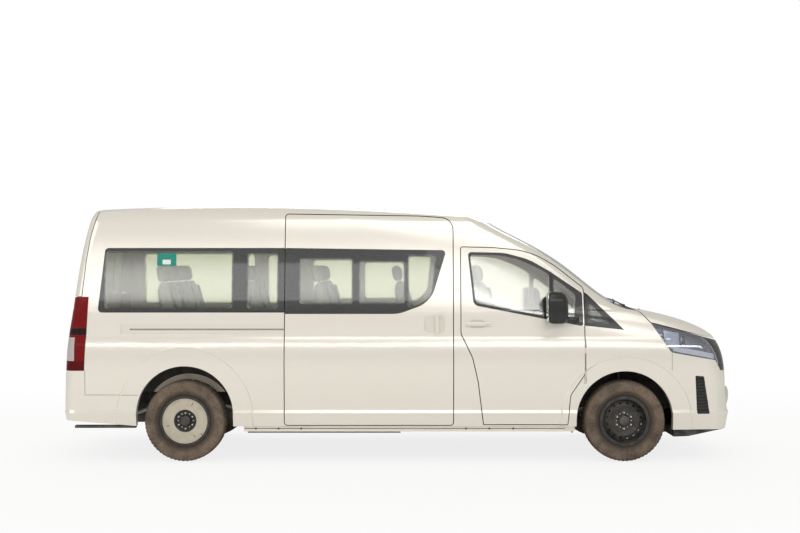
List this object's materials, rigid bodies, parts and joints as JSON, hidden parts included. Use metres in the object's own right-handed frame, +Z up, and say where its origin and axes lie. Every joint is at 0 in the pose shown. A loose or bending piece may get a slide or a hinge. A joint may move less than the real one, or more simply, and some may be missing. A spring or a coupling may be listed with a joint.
{
  "type": "minibus",
  "caption": "High-roof passenger minibus with a short bonnet, front doors, a sliding side door, a tailgate, glazed sides and a seated cabin.",
  "frame": {"origin": "on the ground below the middle of the overall length, on the centre line", "axes": "+X towards the front, +Y to the left-hand side, +Z up"},
  "size_m": [5.9143, 2.38, 2.28],
  "materials": {
    "body_paint": "gloss",
    "glass": "clear",
    "dark_glass": "tinted",
    "tyre": "dusty",
    "black_steel": "satin",
    "cream_steel": "satin",
    "chassis": "matt",
    "bare_steel": "dull",
    "cast": "rough",
    "black_plastic": "textured",
    "gloss_black": "gloss",
    "bright": "bright",
    "lamp_clear": "clear",
    "lamp_red": "gloss",
    "seat_cloth": "woven",
    "cabin_plastic": "textured",
    "floor_vinyl": "ribbed",
    "primer": "satin"
  },
  "bodies": {
    "body": {"roof": "body_paint", "side_right": "body_paint", "side_left": "body_paint", "sliding_door": "body_paint", "cowl": "black_plastic", "grille": "gloss_black", "lower_grille": "bright", "front_bumper": "body_paint", "headlamps": "lamp_clear", "fender_right": "body_paint", "fender_left": "body_paint", "rear_bumper": "body_paint", "tail_lamps": "lamp_red", "pillar_trim": "gloss_black", "windscreen": "glass", "side_glass_right": "dark_glass", "side_glass_left": "dark_glass", "floor": "floor_vinyl", "firewall": "chassis", "wheelhouses": "primer", "frame": "chassis", "front_subframe": "chassis", "rear_axle": "chassis", "leaf_springs": "bare_steel", "propshaft": "bare_steel", "engine": "cast", "fuel_tank": "black_plastic", "exhaust": "bare_steel", "under_tray": "black_plastic", "dashboard": "cabin_plastic", "steering_wheel": "black_plastic", "seat_stands": "chassis", "front_seats": "seat_cloth", "rear_seats": "seat_cloth"},
    "tailgate": {"tailgate": "body_paint", "tailgate_glass": "glass"},
    "bonnet": {"bonnet": "body_paint"},
    "front_door_right": {"door_right": "body_paint", "door_glass_right": "glass", "mirror_right": "gloss_black"},
    "front_door_left": {"door_left": "body_paint", "door_glass_left": "glass", "mirror_left": "gloss_black"},
    "steer_right": {"knuckle_right": "cast"},
    "steer_left": {"knuckle_left": "cast"},
    "wheel_front_right": {"tyre_front_right": "tyre", "rim_front_right": "black_steel"},
    "wheel_front_left": {"tyre_front_left": "tyre", "rim_front_left": "black_steel"},
    "wheel_rear_right": {"tyre_rear_right": "tyre", "rim_rear_right": "cream_steel"},
    "wheel_rear_left": {"tyre_rear_left": "tyre", "rim_rear_left": "cream_steel"}
  },
  "joints": [
    {"name": "steer_right", "type": "hinge", "parent": "body", "child": "steer_right", "pos_m": [1.9875, -0.745, 0.23], "axis": [0, 0.2662, 0.9639], "range_deg": [-33, 33]},
    {"name": "spin_front_right", "type": "hinge", "parent": "steer_right", "child": "wheel_front_right", "pos_m": [1.9875, -0.8375, 0.356], "axis": [0, 1, 0], "continuous": true},
    {"name": "spin_rear_right", "type": "hinge", "parent": "body", "child": "wheel_rear_right", "pos_m": [-1.8725, -0.8375, 0.356], "axis": [0, 1, 0], "continuous": true},
    {"name": "open_door_right", "type": "hinge", "parent": "body", "child": "front_door_right", "pos_m": [1.638, -0.957, 0.9], "axis": [0, 0, 1], "range_deg": [0, 54]},
    {"name": "steer_left", "type": "hinge", "parent": "body", "child": "steer_left", "pos_m": [1.9875, 0.745, 0.23], "axis": [0, -0.2662, 0.9639], "range_deg": [-33, 33]},
    {"name": "spin_front_left", "type": "hinge", "parent": "steer_left", "child": "wheel_front_left", "pos_m": [1.9875, 0.8375, 0.356], "axis": [0, 1, 0], "continuous": true},
    {"name": "spin_rear_left", "type": "hinge", "parent": "body", "child": "wheel_rear_left", "pos_m": [-1.8725, 0.8375, 0.356], "axis": [0, 1, 0], "continuous": true},
    {"name": "open_door_left", "type": "hinge", "parent": "body", "child": "front_door_left", "pos_m": [1.638, 0.957, 0.9], "axis": [0, 0, -1], "range_deg": [0, 54]},
    {"name": "open_tailgate", "type": "hinge", "parent": "body", "child": "tailgate", "pos_m": [-2.665, 0, 2.24499], "axis": [0, 1, 0], "range_deg": [0, 85]},
    {"name": "open_bonnet", "type": "hinge", "parent": "body", "child": "bonnet", "pos_m": [2.135, 0, 1.325], "axis": [0, -1, 0], "range_deg": [0, 50]}
  ],
  "couplings": [
    {"joint": "steer_left", "follows": "steer_right", "ratio": 1}
  ]
}
